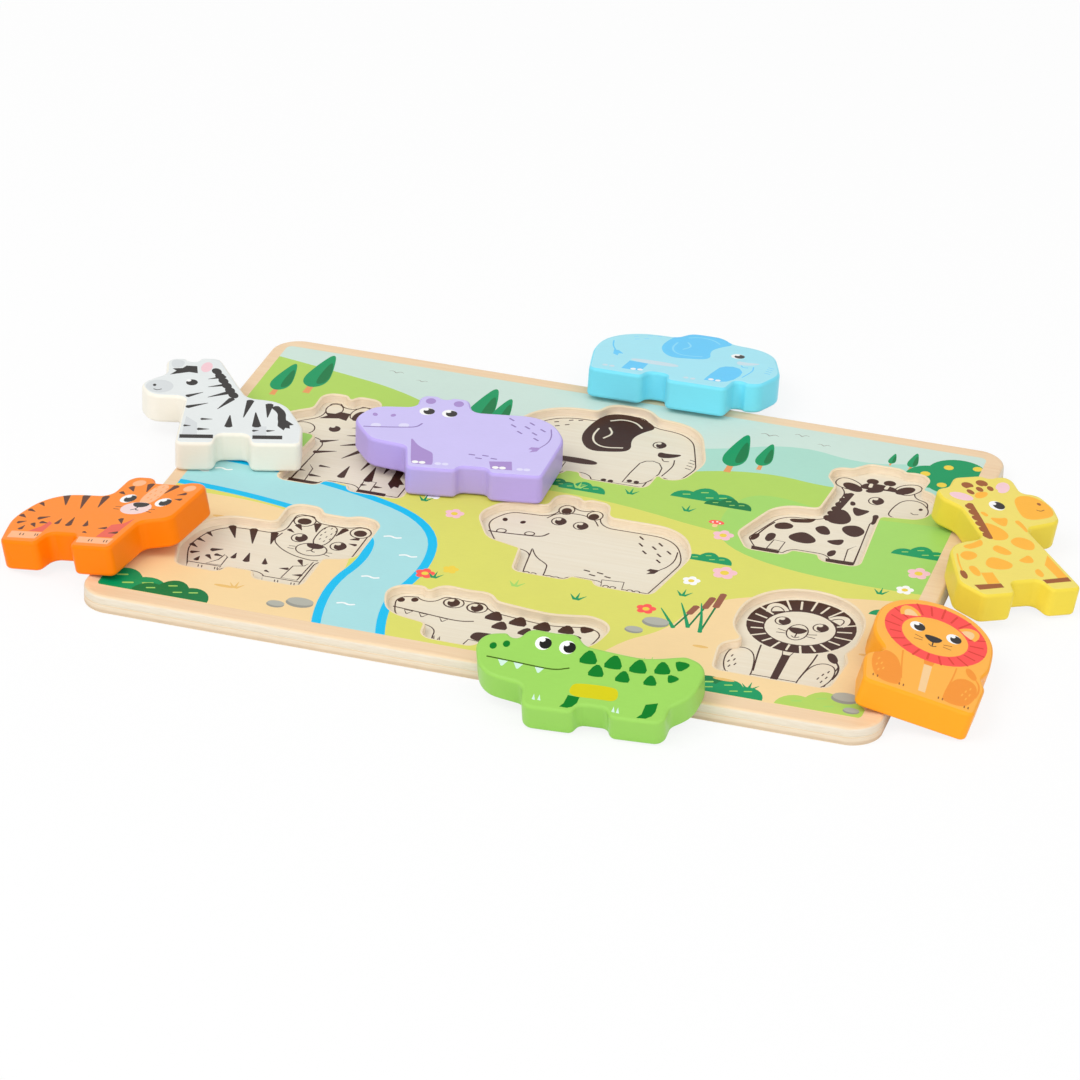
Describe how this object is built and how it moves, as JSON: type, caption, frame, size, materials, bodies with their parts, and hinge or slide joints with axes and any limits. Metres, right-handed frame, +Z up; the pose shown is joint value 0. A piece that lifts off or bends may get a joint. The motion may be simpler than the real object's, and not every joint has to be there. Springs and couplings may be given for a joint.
{
  "type": "chunky wooden tray puzzle",
  "caption": "Toddler's tray puzzle: a printed plywood board with animal-shaped recesses and thick painted animal blocks that lift off and drop into them.",
  "frame": {"origin": "centre of the board's underside, on the table", "axes": "+X along the board's long side, +Y to the back edge, +Z up out of the recesses"},
  "size_m": [0.3866, 0.3056, 0.0244],
  "materials": {
    "bare_ply": "sanded birch plywood",
    "printed_ply": "printed and clear-coated plywood",
    "zebra_paint": "satin painted wood with a printed face",
    "tiger_paint": "satin painted wood with a printed face",
    "hippo_paint": "satin painted wood with a printed face",
    "elephant_paint": "satin painted wood with a printed face",
    "giraffe_paint": "satin painted wood with a printed face",
    "lion_paint": "satin painted wood with a printed face",
    "crocodile_paint": "satin painted wood with a printed face"
  },
  "bodies": {
    "board": {"base_panel": "bare_ply", "cutout_panel": "printed_ply"},
    "zebra": {"zebra_block": "zebra_paint"},
    "tiger": {"tiger_block": "tiger_paint"},
    "hippo": {"hippo_block": "hippo_paint"},
    "elephant": {"elephant_block": "elephant_paint"},
    "giraffe": {"giraffe_block": "giraffe_paint"},
    "lion": {"lion_block": "lion_paint"},
    "crocodile": {"crocodile_block": "crocodile_paint"}
  },
  "joints": [
    {"name": "zebra_lift", "type": "slide", "parent": "board", "child": "zebra", "axis": [0, 0, 1], "range_m": [0, 0.05]},
    {"name": "tiger_lift", "type": "slide", "parent": "board", "child": "tiger", "axis": [0, 0, 1], "range_m": [0, 0.05]},
    {"name": "hippo_lift", "type": "slide", "parent": "board", "child": "hippo", "axis": [0, 0, 1], "range_m": [0, 0.05]},
    {"name": "elephant_lift", "type": "slide", "parent": "board", "child": "elephant", "axis": [0, 0, 1], "range_m": [0, 0.05]},
    {"name": "giraffe_lift", "type": "slide", "parent": "board", "child": "giraffe", "axis": [0, 0, 1], "range_m": [0, 0.05]},
    {"name": "lion_lift", "type": "slide", "parent": "board", "child": "lion", "axis": [0, 0, 1], "range_m": [0, 0.05]},
    {"name": "crocodile_lift", "type": "slide", "parent": "board", "child": "crocodile", "axis": [0, 0, 1], "range_m": [0, 0.05]}
  ]
}
